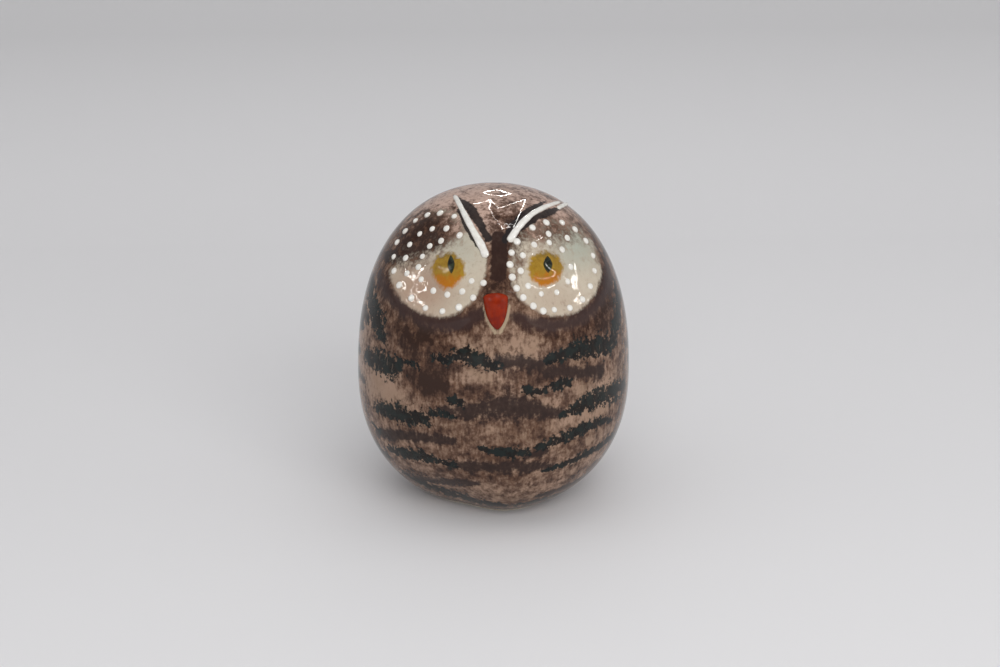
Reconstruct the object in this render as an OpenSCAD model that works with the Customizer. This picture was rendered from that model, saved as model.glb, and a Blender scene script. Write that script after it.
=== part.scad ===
// Figural owl coin bank: a slip-cast, glazed ceramic shell with trailed-slip decoration,
// a coin slot in the back of the head and a soft stopper in the base.
//
// Millimetres, +Z up. The origin is the middle of the foot, on the surface it stands on.
// The owl faces -Y. Left and right are as the viewer sees them from the front.

/* [Body] */
// Width of the body at its widest level
body_w = 104; // [96:1:112]
// Depth of the body, front to back
body_d = 98; // [92:1:106]
// Overall height
body_h = 121; // [116:1:126]
// Height of the widest level
widest_z = 48.5; // [46:0.5:52]
// How full the body is above its widest level: 2 is an ellipse, more is squarer
top_full = 2.33; // [2.1:0.01:2.5]
// How full the body is below its widest level
low_full = 2.25; // [2.1:0.01:2.4]
// Width of the foot
foot_w = 46; // [45:0.5:52]
// Thickness of the ceramic wall
wall = 4.5; // [3.5:0.25:6]
// How far the soft keel down the front stands out at the foot
keel_rise = 5; // [0:0.5:6]
// Depth of the flat pressed into the lower left flank
flat_deep = 2.6; // [0:0.2:3]

/* [Face] */
// How far the face looks up, in degrees
face_lean = 20; // [15:1:25]
// Height at which the axis of the face crosses the body's centre line
face_z = 88.9; // [86:0.1:91]
// Distance of each eye from the middle of the face
eye_x = 17.8; // [15:0.2:19]
// Distance of each facial disc's centre from the middle of the face
disc_x = 21.8; // [20:0.2:23]
// Height of each facial disc's centre above the face axis
disc_up = 1.9; // [0:0.1:4]
// How much higher the left disc sits and reaches than the right one
disc_skew = 2; // [0:0.2:3]
// Half width of a facial disc
disc_rx = 18.2; // [16:0.2:20]
// Half height of a facial disc
disc_ry = 19.6; // [18:0.2:21]
// How deep each disc is dished
socket_deep = 3.4; // [1:0.2:4]
// How far each eyeball swells out of its dish
eyeball_rise = 2.4; // [0:0.2:3]
// Radius of the amber iris
iris_r = 7; // [5:0.1:8]
// Width of the slit pupil
pupil_w = 2.7; // [1.5:0.1:4]
// Height of the slit pupil
pupil_h = 6.6; // [5:0.1:8]

/* [Beak] */
// Width of the beak at its root
beak_w = 9; // [6:0.2:10]
// Length of the beak down the face
beak_len = 13.5; // [11:0.5:16]
// How far the beak stands out from the face
beak_out = 3.2; // [2:0.2:4.5]

/* [Trailed slip] */
// Diameter of a dot of slip
dot_d = 2.6; // [1.6:0.1:3.4]
// How far dots and lines of slip stand above the surface
slip_rise = 0.8; // [0.4:0.1:1.2]
// Width of the white brow lines
brow_w = 2.4; // [2:0.1:4]

/* [Coin slot] */
// Length of the coin slot
slot_l = 34; // [30:1:38]
// Height of the coin slot
slot_h = 4.6; // [4.4:0.1:5.4]
// Height of the middle of the slot above the foot
slot_z = 95; // [90:1:98]

/* [Base and stopper] */
// Diameter of the hole in the base
hole_d = 30; // [29:0.5:31]
// Diameter of the recess around the hole
recess_d = 36.6; // [36.4:0.1:37]
// Depth of the recess, which keeps the stopper off the table
recess_deep = 3; // [2.6:0.1:4]
// Height of the inside floor of the bank
floor_z = 8; // [7:0.5:10]
// Gap on each side between the stopper and the hole
stopper_gap = 0.05; // [0.03:0.01:0.1]
// Diameter of the stopper's flange
flange_d = 35; // [34:0.2:35.4]
// Height that the stopper's plug reaches to
plug_top = 12.5; // [11:0.5:13]

/* [Hidden] */

LEFT = -1;
RIGHT = 1;
core = [0, 0, 60];               // the wall's thickness is measured along the line from here
keel_top = 50;                   // height at which the keel has faded out
keel_az = 10;                    // the keel sits to the right of the middle
keel_spread = [18, 50];          // and falls away faster on its left than on its right
flat_at = [-30, 10];             // azimuth and height of the middle of the flat
flat_spread = [20, 12];          // and how far it reaches, in degrees and in height
probe = 0.4;                     // step for working out a normal
outer_grid = [64, 40];           // azimuth steps and rings of the outside
inner_grid = [36, 22];           // azimuth steps and rings of the inside
disc_grid = [36, 9];             // steps around and out from a disc's centre
disc_rise = 0.3;                 // how far the white slip of a disc stands above the shell
disc_sunk = 0.5;                 // and how far it is keyed into it
iris_dome_r = 22;                // radius of the dome of an iris
iris_edge = 0.25;                // height of its rim above the skin
pupil_rise = 0.25;               // height of the pupil above the iris
iris_up = -0.5;                  // height of the eyes above the face axis
lens_sunk = 1.2;                 // how far irises are keyed into the eyeball

// Rows of dots: centre, radii, first and last angle, count. Angles run anticlockwise as seen.
OUTER_LEFT = [[[-21, 3], [16.5, 18], 69, 207, 9], [[-20.2, 3], [16.6, 18], 227, 334, 6]];
OUTER_RIGHT = [[[21, 1], [15.7, 16.3], -92, 119, 11], [[21, 1], [16.2, 16.8], 148, 254, 8]];
INNER_LEFT = [[[-21, 3], [12.2, 12.6], 50, 198, 7], [[-eye_x, iris_up], [10.5, 10.5], 102, 200, 5],
              [[-eye_x, iris_up], [9.6, 9.4], 236, 332, 4]];
INNER_RIGHT = [[[eye_x, iris_up], [9.4, 9.6], 45, 363, 10], [[21, 1], [11, 12], 60, 100, 2]];

// Middle lines of the brow strokes, across and up the face.
BROW_LEFT = [[-14.6, 28], [-12.7, 23.6], [-10.6, 18.8], [-8, 13.4], [-5.4, 8.4], [-3.9, 4.2]];
BROW_RIGHT = [[5, 11.4], [7.3, 14.3], [10.1, 17.3], [13.7, 20.4], [19, 23.1], [25.2, 25.2]];
BROW_DASH = [[23.7, 22.4], [25.9, 23.6], [28.1, 24.6]];

// ---- the skin of the owl ----

function unit(v) = v / norm(v);
function bump(q) = abs(q) < 1 ? pow(1 - q * q, 2) : 0;
function oval(x, up, centre, radii) = norm([(x - centre.x) / radii.x, (up - centre.y) / radii.y]);
foot_lat = -acos(pow(foot_w / body_w, low_full / 2));
low_reach = widest_z / pow(-sin(foot_lat), 2 / low_full);

// The flat: a shallow press on the lower left of the front.
function flat(az, z) = flat_deep * exp(-pow((az - flat_at[0]) / flat_spread[0], 2)
                                       - pow((z - flat_at[1]) / flat_spread[1], 2));

// The keel: a soft ridge on the lower front.
function keel(az, z) = let (side = az < keel_az ? keel_spread[0] : keel_spread[1])
    keel_rise * exp(-pow((az - keel_az) / side, 2)) * max(0, 1 - z / keel_top);

// The plain egg, by latitude and by azimuth from the front.
function egg_point(lat, az) = let (
    full = lat < 0 ? low_full : top_full,
    reach = lat < 0 ? -low_reach : body_h - widest_z,
    z = widest_z + reach * pow(abs(sin(lat)), 2 / full),
    p = pow(max(cos(lat), 0), 2 / full),
    press = flat(az, z))
    [(p * body_w / 2 - press) * sin(az), -(p * body_d / 2 - press) * cos(az) - p * keel(az, z), z];

// Over 1 outside the egg, under 1 inside.
function egg_level(p) = let (
    above = p.z >= widest_z,
    full = above ? top_full : low_full,
    rise = abs(p.z - widest_z) / (above ? body_h - widest_z : low_reach))
    pow(norm([p.x / (body_w / 2), p.y / (body_d / 2)]), full) + pow(rise, full);

// A point x across the face, up the face, and out along the axis of the face.
function face_point(x, up, out) = [x, up * sin(face_lean) - out * cos(face_lean),
                                   face_z + up * cos(face_lean) + out * sin(face_lean)];
function face_up(p) = p.y * sin(face_lean) + (p.z - face_z) * cos(face_lean);
function face_out(p) = -p.y * cos(face_lean) + (p.z - face_z) * sin(face_lean);
function disc_middle(side) = [side * disc_x, disc_up - side * disc_skew / 2];
function disc_radii(side) = [disc_rx, disc_ry - side * disc_skew / 2];

// Where the line through x, up and along the face axis leaves the egg.
function on_egg(x, up, near = 0, far = body_d, steps = 24) = let (mid = (near + far) / 2)
    steps == 0 ? face_point(x, up, mid)
    : egg_level(face_point(x, up, mid)) < 1 ? on_egg(x, up, mid, far, steps - 1)
    : on_egg(x, up, near, mid, steps - 1);

// Height of the modelled face over the plain egg: two dishes with an eyeball in each,
// the bridge between them, the rolls under the discs and the swelling that carries the beak.
function relief(p) = let (
    x = p.x,
    up = face_up(p),
    front = min(1, max(0, face_out(p) / 12)),
    side = x < 0 ? LEFT : RIGHT,
    dish = oval(x, up, disc_middle(side), disc_radii(side)),
    ball = oval(x, up, [side * eye_x, iris_up], [11, 11]),
    low = min(1, max(0, (4 - up) / 12)))
    front * (-socket_deep * bump(dish) + eyeball_rise * bump(ball)
             + 0.9 * low * bump((dish - 1) / 0.3)
             + 1.6 * bump(oval(x, up, [0, -10], [6.5, 9]))
             + 0.7 * bump(oval(x, up, [0, 6], [6, 20])));

function skin(p, grow = 0) = p + unit(p - core) * grow
    + relief(p) * (face_point(0, 0, 1) - face_point(0, 0, 0));
function face_skin(x, up, grow = 0) = skin(on_egg(x, up), grow);
function face_normal(x, up) = unit(cross(face_skin(x + probe, up) - face_skin(x - probe, up),
                                         face_skin(x, up + probe) - face_skin(x, up - probe)));

// ---- building blocks ----

// Azimuths are closer together over the face than at the back.
function azimuth(i, n) = let (s = 360 * i / n - 180) s - 20 * sin(s);

// A closed skin from rings of equal length: flat at the first ring, a point at the last.
module ringed(rings, tip) {
    n = len(rings[0]);
    last = (len(rings) - 1) * n;
    points = concat([for (ring = rings) each ring], [tip]);
    sides = [for (k = [0 : len(rings) - 2], i = [0 : n - 1]) let (
        a = k * n + i, b = k * n + (i + 1) % n) each [[a, a + n, b + n], [a, b + n, b]]];
    polyhedron(points, concat([[for (i = [0 : n - 1]) i]], sides,
        [for (i = [0 : n - 1]) [last + i, len(points) - 1, last + (i + 1) % n]]));
}

module egg(grid, grow, lowest) {
    rings = [for (k = [0 : grid[1] - 1]) let (lat = foot_lat + (90 - foot_lat) * k / grid[1])
        [for (i = [0 : grid[0] - 1]) let (p = skin(egg_point(lat, azimuth(i, grid[0])), grow))
            [p.x, p.y, k == 0 ? lowest : max(p.z, lowest + k * 0.001)]]];
    ringed(rings, skin(egg_point(90, 0), grow));
}

// Puts its children on the skin, with +Z along the normal and +Y up the face.
module on_skin(x, up) {
    p = face_skin(x, up);
    n = face_normal(x, up);
    u = unit(face_point(0, 1, 0) - face_point(0, 0, 0));
    v = unit(u - (u * n) * n);
    r = cross(v, n);
    multmatrix([[r.x, v.x, n.x, p.x], [r.y, v.y, n.y, p.y], [r.z, v.z, n.z, p.z], [0, 0, 0, 1]])
        children();
}

// One dot of slip: a ball sunk so far that its cap stands slip_rise proud.
module dot_rows(rows) {
    r = dot_d / 2;
    for (row = rows, i = [0 : row[4] - 1]) let (
        angle = row[2] + (row[3] - row[2]) * i / (row[4] - 1),
        x = row[0].x + row[1].x * cos(angle),
        up = row[0].y + row[1].y * sin(angle))
        translate(face_skin(x, up) + face_normal(x, up) * (slip_rise - r)) sphere(r, $fn = 24);
}

// A line of slip along a row of face points: half round in section, tapered at both ends.
module slip_line(path, width) {
    n = 10;
    steps = 3 * (len(path) - 1);
    function along(s) = let (i = min(floor(s), len(path) - 2)) path[i] + (s - i) * (path[i + 1] - path[i]);
    mids = [for (k = [0 : steps]) along((len(path) - 1) * k / steps)];
    rings = [for (k = [0 : steps]) let (
        m = mids[k],
        ahead = mids[min(k + 1, steps)] - mids[max(k - 1, 0)],
        here = face_skin(m.x, m.y),
        up = face_normal(m.x, m.y),
        far = m + ahead * 0.2,
        side = unit(cross(up, face_skin(far.x, far.y) - here)),
        swell = 0.35 + 0.65 * sqrt(sin(180 * (k + 0.4) / (steps + 0.8))))
        [for (j = [0 : n - 1]) let (a = 360 * j / n)
            here + swell * (side * width / 2 * cos(a) + up * slip_rise * sin(a))]];
    points = [for (ring = rings) each ring];
    sides = [for (k = [0 : steps - 1], j = [0 : n - 1]) let (
        a = k * n + j, b = k * n + (j + 1) % n) each [[a, b + n, b], [a, a + n, b + n]]];
    polyhedron(points, concat(sides, [[for (j = [0 : n - 1]) j],
        [for (j = [0 : n - 1]) steps * n + n - 1 - j]]));
}

// ---- the pieces ----

module coin_slot() {
    reach = body_d;
    for (side = [LEFT, RIGHT])
        translate([side * (slot_l - slot_h) / 2, 0, slot_z]) rotate([-90, 0, 0])
            cylinder(d = slot_h, h = reach, $fn = 48);
    translate([-(slot_l - slot_h) / 2, 0, slot_z - slot_h / 2]) cube([slot_l - slot_h, reach, slot_h]);
}

module ceramic_shell() {
    color("#8a6a5c") difference() {
        egg(outer_grid, 0, 0);
        egg(inner_grid, -wall, floor_z);
        translate([0, 0, -1]) cylinder(d = hole_d, h = floor_z + 2, $fn = 96);
        translate([0, 0, -1]) cylinder(d = recess_d, h = recess_deep + 1, $fn = 96);
        coin_slot();
    }
}

// The white slip brushed into a socket, thinning out at its edge.
module facial_disc(side) {
    n = disc_grid[0];
    rows = disc_grid[1];
    middle = disc_middle(side);
    radii = disc_radii(side);
    function place(k, j) = [middle.x + radii.x * 0.92 * k / rows * cos(360 * j / n),
                            middle.y + radii.y * 0.92 * k / rows * sin(360 * j / n)];
    function lift(k) = k == rows ? -disc_sunk / 2 : disc_rise * (1 - pow(k / rows, 4));
    front = concat([face_skin(middle.x, middle.y, disc_rise)],
        [for (k = [1 : rows], j = [0 : n - 1]) let (q = place(k, j)) face_skin(q.x, q.y, lift(k))]);
    back = concat([face_skin(middle.x, middle.y, -disc_sunk)],
        [for (k = [1 : rows - 1], j = [0 : n - 1]) let (q = place(k, j)) face_skin(q.x, q.y, -disc_sunk)]);
    under = len(front);
    function fan(start, flip) = [for (j = [0 : n - 1]) let (a = start + 1 + j, b = start + 1 + (j + 1) % n)
        flip ? [start, a, b] : [start, b, a]];
    function strip(a0, b0, flip) = [for (j = [0 : n - 1]) let (
        a = a0 + j, b = a0 + (j + 1) % n, c = b0 + j, d = b0 + (j + 1) % n)
        each (flip ? [[a, c, d], [a, d, b]] : [[a, d, c], [a, b, d]])];
    color("#e9e2d4") polyhedron(concat(front, back), concat(
        fan(0, false), [for (k = [1 : rows - 1]) each strip(1 + (k - 1) * n, 1 + k * n, false)],
        fan(under, true), [for (k = [1 : rows - 2]) each strip(under + 1 + (k - 1) * n, under + 1 + k * n, true)],
        strip(under + 1 + (rows - 2) * n, 1 + (rows - 1) * n, true)));
}

module iris_dome(grow = 0) {
    translate([0, 0, iris_edge + sqrt(pow(iris_dome_r, 2) - pow(iris_r, 2)) * -1])
        sphere(iris_dome_r + grow, $fn = 96);
}

module iris(side) {
    color("#c9981f") on_skin(side * eye_x, iris_up) intersection() {
        translate([0, 0, -lens_sunk]) cylinder(r = iris_r, h = 4, $fn = 72);
        iris_dome();
    }
}

// A slit pupil: two arcs that meet in points at the top and bottom.
module pupil(side) {
    r = (pow(pupil_w, 2) + pow(pupil_h, 2)) / (4 * pupil_w);
    color("#23231f") on_skin(side * eye_x, iris_up) translate([0, 1.4, 0]) intersection() {
        translate([r - pupil_w / 2, 0, 0]) cylinder(r = r, h = 4, $fn = 96);
        translate([pupil_w / 2 - r, 0, 0]) cylinder(r = r, h = 4, $fn = 96);
        translate([0, -1.4, 0]) iris_dome(pupil_rise);
    }
}

// A shield: two round shoulders, set a little to the left, a full middle and a narrow tip.
module beak() {
    root = -8.9;
    corner = 1.7;
    shift = -0.6;
    color("#b8401a") hull() {
        for (side = [LEFT, RIGHT])
            translate(face_skin(side * (beak_w / 2 - corner) + shift, root - corner, beak_out - 2.6))
                sphere(corner, $fn = 24);
        translate(face_skin(0, root - beak_len * 0.4, beak_out - 2.9)) sphere(2.9, $fn = 24);
        for (side = [LEFT, RIGHT])
            translate(face_skin(side * (beak_w / 2 - 2.2), root - beak_len * 0.5, beak_out - 3)) sphere(1.8, $fn = 24);
        translate(face_skin(0, root - beak_len + 1, beak_out - 2)) sphere(1, $fn = 24);
    }
}

// Soft plug with ribs, a flange under the foot and a bar to pull it out by.
module base_stopper() {
    plug_r = hole_d / 2 - stopper_gap;
    flange_bottom = 1.1;
    flange_top = recess_deep - 0.1;
    web = [5.2, 6.8];            // underside and top of the web that closes the plug
    pocket_r = hole_d / 2 - 5.2; // finger pocket under the web
    cup_r = hole_d / 2 - 2.8;    // inside of the plug
    groove = 0.6;
    rib = 1.6;
    soft = 0.7;
    color("#3c3a38") {
        rotate_extrude($fn = 96) polygon(concat(
            [[0, web[0]], [pocket_r - 1, web[0]], [pocket_r, web[0] - 1], [pocket_r, flange_bottom + soft],
             [pocket_r + soft, flange_bottom], [flange_d / 2 - soft, flange_bottom],
             [flange_d / 2, flange_bottom + soft], [flange_d / 2, flange_top], [plug_r - groove, flange_top]],
            [for (k = [0 : 2]) let (z = flange_top + 0.6 + k * (rib + 1.1)) each
                [[plug_r - groove, z], [plug_r, z + groove], [plug_r, z + rib], [plug_r - groove, z + rib + 0.4]]],
            [[plug_r - groove, plug_top - 1], [plug_r - groove - 1, plug_top],
             [cup_r, plug_top], [cup_r, web[1] + 1], [cup_r - 1, web[1]], [0, web[1]]]));
        pull_bar(web[0] + 0.4);
    }
}

module pull_bar(top) {
    bar_l = 14;
    bar_t = 2.6;
    bottom = 1;
    for (side = [LEFT, RIGHT])
        translate([side * (bar_l - bar_t) / 2, 0, bottom]) cylinder(d = bar_t, h = top - bottom, $fn = 32);
    translate([-(bar_l - bar_t) / 2, -bar_t / 2, bottom]) cube([bar_l - bar_t, bar_t, top - bottom]);
}

ceramic_shell();
facial_disc(LEFT);  // facial_disc_left
facial_disc(RIGHT);  // facial_disc_right
iris(LEFT);  // iris_left
iris(RIGHT);  // iris_right
pupil(LEFT);  // pupil_left
pupil(RIGHT);  // pupil_right
beak();
color("#e9e6df") slip_line(BROW_LEFT, brow_w);  // brow_line_left
color("#e9e6df") slip_line(BROW_RIGHT, brow_w);  // brow_line_right
color("#e9e6df") slip_line(BROW_DASH, brow_w * 0.7);  // brow_dash_right
color("#f4f1ea") dot_rows(OUTER_LEFT);  // outer_dots_left
color("#f4f1ea") dot_rows(OUTER_RIGHT);  // outer_dots_right
color("#f4f1ea") dot_rows(INNER_LEFT);  // inner_dots_left
color("#f4f1ea") dot_rows(INNER_RIGHT);  // inner_dots_right
base_stopper();
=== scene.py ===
"""Owl coin bank: the looks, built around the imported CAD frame.

Shapes are worked out in millimetres, in the CAD frame (+Z up, the owl faces -Y), and turned into metres
when a mesh is made. The skin of the owl is the egg of the CAD part with very nearly the same modelled
face, on a finer grid. The painting is a set of fields, one number a vertex, that the glaze material reads.
Left and right are as the viewer sees them from the front.
"""

import math

import bmesh
import bpy
import numpy as np
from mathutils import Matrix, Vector


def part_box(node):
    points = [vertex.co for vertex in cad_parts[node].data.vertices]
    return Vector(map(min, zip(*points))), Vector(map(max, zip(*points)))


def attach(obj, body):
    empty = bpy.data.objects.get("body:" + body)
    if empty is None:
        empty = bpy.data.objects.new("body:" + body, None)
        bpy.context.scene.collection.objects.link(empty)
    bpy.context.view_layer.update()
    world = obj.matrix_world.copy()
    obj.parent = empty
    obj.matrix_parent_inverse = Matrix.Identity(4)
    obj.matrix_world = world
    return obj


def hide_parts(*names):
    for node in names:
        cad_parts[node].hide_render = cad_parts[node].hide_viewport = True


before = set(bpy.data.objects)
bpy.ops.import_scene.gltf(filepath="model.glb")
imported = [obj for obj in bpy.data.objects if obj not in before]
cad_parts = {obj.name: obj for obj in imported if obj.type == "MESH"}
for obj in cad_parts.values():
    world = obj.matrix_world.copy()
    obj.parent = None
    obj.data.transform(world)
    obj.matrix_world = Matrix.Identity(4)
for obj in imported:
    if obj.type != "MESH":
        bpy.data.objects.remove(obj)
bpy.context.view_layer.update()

MM = 0.001
LEFT, RIGHT = -1, 1
WORD = {LEFT: "left", RIGHT: "right"}
SHELL_LOW, SHELL_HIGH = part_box("ceramic_shell")
BODY_W, BODY_D, BODY_H = [round((high - low) / MM) for low, high in zip(SHELL_LOW, SHELL_HIGH)]

# The egg
WIDEST_Z = 48.5
TOP_FULL, LOW_FULL = 2.33, 2.25
FOOT_W = 46.0
FOOT_LAT = -math.acos((FOOT_W / BODY_W) ** (LOW_FULL / 2))
LOW_REACH = WIDEST_Z / (-math.sin(FOOT_LAT)) ** (2 / LOW_FULL)
WALL = 4.5
CORE = np.array([0.0, 0.0, 60.0])
KEEL_RISE = 5.0
KEEL_TOP = 50.0
KEEL_AZ = 10.0
KEEL_SPREAD = (18.0, 50.0)
FLAT_DEEP = 2.6
FLAT_AZ, FLAT_Z = -30.0, 10.0
FLAT_SPREAD = (20.0, 12.0)

# The face
FACE_LEAN = math.radians(20)
FACE_AXIS = np.array([0.0, -math.cos(FACE_LEAN), math.sin(FACE_LEAN)])
FACE_Z = 88.9
EYE_X, EYE_UP = 17.8, 0.2
DISC_X, DISC_UP, DISC_SKEW = 21.8, 1.9, 2.0
DISC_RX, DISC_RY = 18.2, 19.6
SOCKET_DEEP = 3.4
EYEBALL_RISE = 2.4
EYEBALL_R = 11.0
CHEEK_RISE = 0.9                 # the low rim that runs under both sockets
BEAK_ROOT_RISE = 1.6
BRIDGE_RISE = 0.7
IRIS_R = 7.0
IRIS_RISE = 0.4
IRIS_SUNK = 0.04
PUPIL_LIFT = 0.02
PUPIL_RISE = 0.16
DISC_LIFT = 0.3                  # how far the white slip of a disc stands above the shell

# The slot and the base
SLOT_L, SLOT_H, SLOT_Z = 34.0, 4.6, 95.0
HOLE_R = 15.0
RECESS_R = 18.3
RECESS_DEEP = 3.0
FLOOR_Z = 8.0


# ------------------------ the skin of the owl

def unit(v):
    return v / np.linalg.norm(v, axis=-1, keepdims=True)


def bump(q):
    """A smooth hump: 1 at 0, and 0 with no slope at 1 and beyond."""
    return np.where(np.abs(q) < 1, (1 - np.minimum(np.abs(q), 1) ** 2) ** 2, 0)


def smooth(value, low, high):
    """Goes softly from 0 to 1 while the value goes from low to high."""
    t = np.clip((value - low) / (high - low), 0, 1)
    return t * t * (3 - 2 * t)


def oval(x, up, centre, radii):
    """Distance from an ellipse's centre, where 1 is the ellipse."""
    return np.hypot((x - centre[0]) / radii[0], (up - centre[1]) / radii[1])


def turned(az, middle):
    """Degrees round from a middle, from -180 to 180."""
    return (az - middle + 180) % 360 - 180


def keel(az, z):
    """The soft ridge on the lower front. Azimuths are in degrees from the front, to the viewer's right."""
    away = turned(az, KEEL_AZ)
    spread = np.where(away < 0, KEEL_SPREAD[0], KEEL_SPREAD[1])
    return KEEL_RISE * np.exp(-(away / spread) ** 2) * np.maximum(0, 1 - z / KEEL_TOP)


def flat(az, z):
    """The shallow press on the lower left of the front."""
    away = turned(az, FLAT_AZ)
    return FLAT_DEEP * np.exp(-(away / FLAT_SPREAD[0]) ** 2 - ((z - FLAT_Z) / FLAT_SPREAD[1]) ** 2)


def egg_width(z):
    """The share of the body's width at a height."""
    low = z < WIDEST_Z
    full = np.where(low, LOW_FULL, TOP_FULL)
    rise = np.clip(np.abs(z - WIDEST_Z) / np.where(low, LOW_REACH, BODY_H - WIDEST_Z), 0, 1)
    return (1 - rise ** full) ** (1 / full)


def egg_at(az, z):
    """The plain egg at an azimuth and a height."""
    az, z = np.broadcast_arrays(np.asarray(az, float), np.asarray(z, float))
    p = egg_width(z)
    press = flat(az, z)
    turn = np.radians(az)
    y = -(p * BODY_D / 2 - press) * np.cos(turn) - p * keel(az, z)
    return np.stack([(p * BODY_W / 2 - press) * np.sin(turn), y, z], -1)


def height_at(lat):
    """The height of a latitude, which spaces the rings evenly over the egg."""
    low = lat < 0
    full = np.where(low, LOW_FULL, TOP_FULL)
    return WIDEST_Z + np.where(low, -LOW_REACH, BODY_H - WIDEST_Z) * np.abs(np.sin(lat)) ** (2 / full)


def egg_level(p):
    """Below 1 inside the plain egg, and above 1 outside it."""
    above = p[..., 2] >= WIDEST_Z
    full = np.where(above, TOP_FULL, LOW_FULL)
    rise = np.abs(p[..., 2] - WIDEST_Z) / np.where(above, BODY_H - WIDEST_Z, LOW_REACH)
    return np.hypot(p[..., 0] / (BODY_W / 2), p[..., 1] / (BODY_D / 2)) ** full + rise ** full


def face_point(x, up, out):
    """A point x across the face, up the face, and out along the axis of the face."""
    y = up * math.sin(FACE_LEAN) - out * math.cos(FACE_LEAN)
    z = FACE_Z + up * math.cos(FACE_LEAN) + out * math.sin(FACE_LEAN)
    return np.stack(np.broadcast_arrays(x, y, z), -1)


def face_up(p):
    """How far up the face a point is."""
    return p[..., 1] * math.sin(FACE_LEAN) + (p[..., 2] - FACE_Z) * math.cos(FACE_LEAN)


def face_out(p):
    """How far out along the axis of the face a point is."""
    return -p[..., 1] * math.cos(FACE_LEAN) + (p[..., 2] - FACE_Z) * math.sin(FACE_LEAN)


def on_egg(x, up):
    """Where the line through x, up and along the face axis leaves the egg."""
    x, up = np.broadcast_arrays(np.asarray(x, float), np.asarray(up, float))
    near = np.zeros(x.shape)
    far = np.full(x.shape, float(BODY_D))
    for _ in range(26):
        middle = (near + far) / 2
        inside = egg_level(face_point(x, up, middle)) < 1
        near = np.where(inside, middle, near)
        far = np.where(inside, far, middle)
    return face_point(x, up, (near + far) / 2)


def disc_middle(side):
    """The discs are skewed: the left one sits higher and is taller."""
    return side * DISC_X, DISC_UP - side * DISC_SKEW / 2


def disc_radii(side):
    return DISC_RX, DISC_RY - side * DISC_SKEW / 2


def disc_share(x, up):
    """Distance from the nearer disc's centre, where 1 is its edge."""
    return np.where(x < 0, oval(x, up, disc_middle(LEFT), disc_radii(LEFT)),
                    oval(x, up, disc_middle(RIGHT), disc_radii(RIGHT)))


def relief(p):
    """Height of the modelled face over the plain egg, along the axis of the face."""
    x = p[..., 0]
    up = face_up(p)
    front = np.clip(face_out(p) / 12, 0, 1)
    dish = disc_share(x, up)
    ball = oval(np.abs(x), up, (EYE_X, EYE_UP), (EYEBALL_R, EYEBALL_R))
    low = np.clip((4 - up) / 12, 0, 1)
    return front * (-SOCKET_DEEP * bump(dish) + EYEBALL_RISE * bump(ball)
                    + CHEEK_RISE * low * bump((dish - 1) / 0.3)
                    + BEAK_ROOT_RISE * bump(oval(x, up, (0, -10), (6.5, 9)))
                    + BRIDGE_RISE * bump(oval(x, up, (0, 6), (6, 20))))


def skin(p, grow=0.0):
    """The modelled face added to points of the plain egg, and all of it grown away from the core."""
    return p + unit(p - CORE) * np.asarray(grow)[..., None] + relief(p)[..., None] * FACE_AXIS


def face_skin(x, up, lift=0.0):
    """A point of the face, lifted along the axis of the face."""
    return skin(on_egg(x, up)) + np.asarray(lift)[..., None] * FACE_AXIS


def face_normal(x, up):
    """The direction square to the face, from points a little way to each side."""
    probe = 0.4
    across = face_skin(x + probe, up) - face_skin(x - probe, up)
    upward = face_skin(x, up + probe) - face_skin(x, up - probe)
    return unit(np.cross(across, upward))


# ------------------------ mesh building

def add_object(name, data):
    item = bpy.data.objects.new(name, data)
    bpy.context.scene.collection.objects.link(item)
    return item


def make_mesh(name, points, faces, fields=None, sharp=60):
    """An object from points in millimetres. fields are numbers a vertex, kept as attributes."""
    mesh = bpy.data.meshes.new(name)
    mesh.from_pydata((np.asarray(points) * MM).tolist(), [], faces)
    work = bmesh.new()
    work.from_mesh(mesh)
    bmesh.ops.recalc_face_normals(work, faces=work.faces)
    work.to_mesh(mesh)
    work.free()
    for key, values in (fields or {}).items():
        attribute = mesh.attributes.new(key, "FLOAT", "POINT")
        attribute.data.foreach_set("value", np.asarray(values, np.float32))
    mesh.shade_smooth()
    mesh.set_sharp_from_angle(angle=math.radians(sharp))
    return add_object(name, mesh)


def strip(a, b):
    """Quads between two closed loops of vertex numbers, one to one."""
    n = len(a)
    return [(a[j], a[(j + 1) % n], b[(j + 1) % n], b[j]) for j in range(n)]


def halving_strip(a, b):
    """Faces between a closed loop and one with half as many vertices."""
    n = len(a)
    faces = []
    for j in range(0, n, 2):
        here, there = b[j // 2], b[(j // 2 + 1) % len(b)]
        faces.append((a[j], a[j + 1], here))
        faces.append((a[j + 1], a[(j + 2) % n], there, here))
    return faces


def fan(loop, tip):
    """Triangles from a closed loop to one vertex."""
    return [(loop[j], loop[(j + 1) % len(loop)], tip) for j in range(len(loop))]


class Build:
    """A closed surface in the making: its points, and its faces as tuples of their numbers."""

    def __init__(self):
        self.rows = []
        self.count = 0
        self.faces = []
        self.last = []

    def add(self, points):
        """Adds points, and hands back their numbers."""
        points = np.asarray(points, float).reshape(-1, 3)
        self.rows.append(points)
        self.count += len(points)
        return list(range(self.count - len(points), self.count))

    def loop(self, points):
        """Adds a closed loop, and joins it to the last one, or to the single point before it."""
        loop = self.add(points)
        if len(self.last) == 1:
            self.faces += fan(loop, self.last[0])
        elif self.last:
            self.faces += strip(self.last, loop)
        self.last = loop

    def cap(self):
        """Closes the last loop with a flat face."""
        self.faces.append(tuple(self.last))

    def all(self):
        return np.concatenate(self.rows)


# ------------------------ the shell

GRID_COLUMNS, GRID_ROWS = 320, 192
FOOT_FILLET = 1.2                # height at which the flank starts to turn under
FOOT_TUCK = 1.98                 # how far in it turns
SLOT_ROLL = 1.5                  # radius of the rolled lip of the slot
SLOT_INNER_ROLL = 0.5
WINDOW_BELOW, WINDOW_ABOVE = 9.0, 8.0
WINDOW_AZ = 34.0                 # half of the angle that the window round the slot takes up
EDGE_SOFT = 0.4                  # radius of the small edges of the base
HOLE_EASE = 0.1


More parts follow.
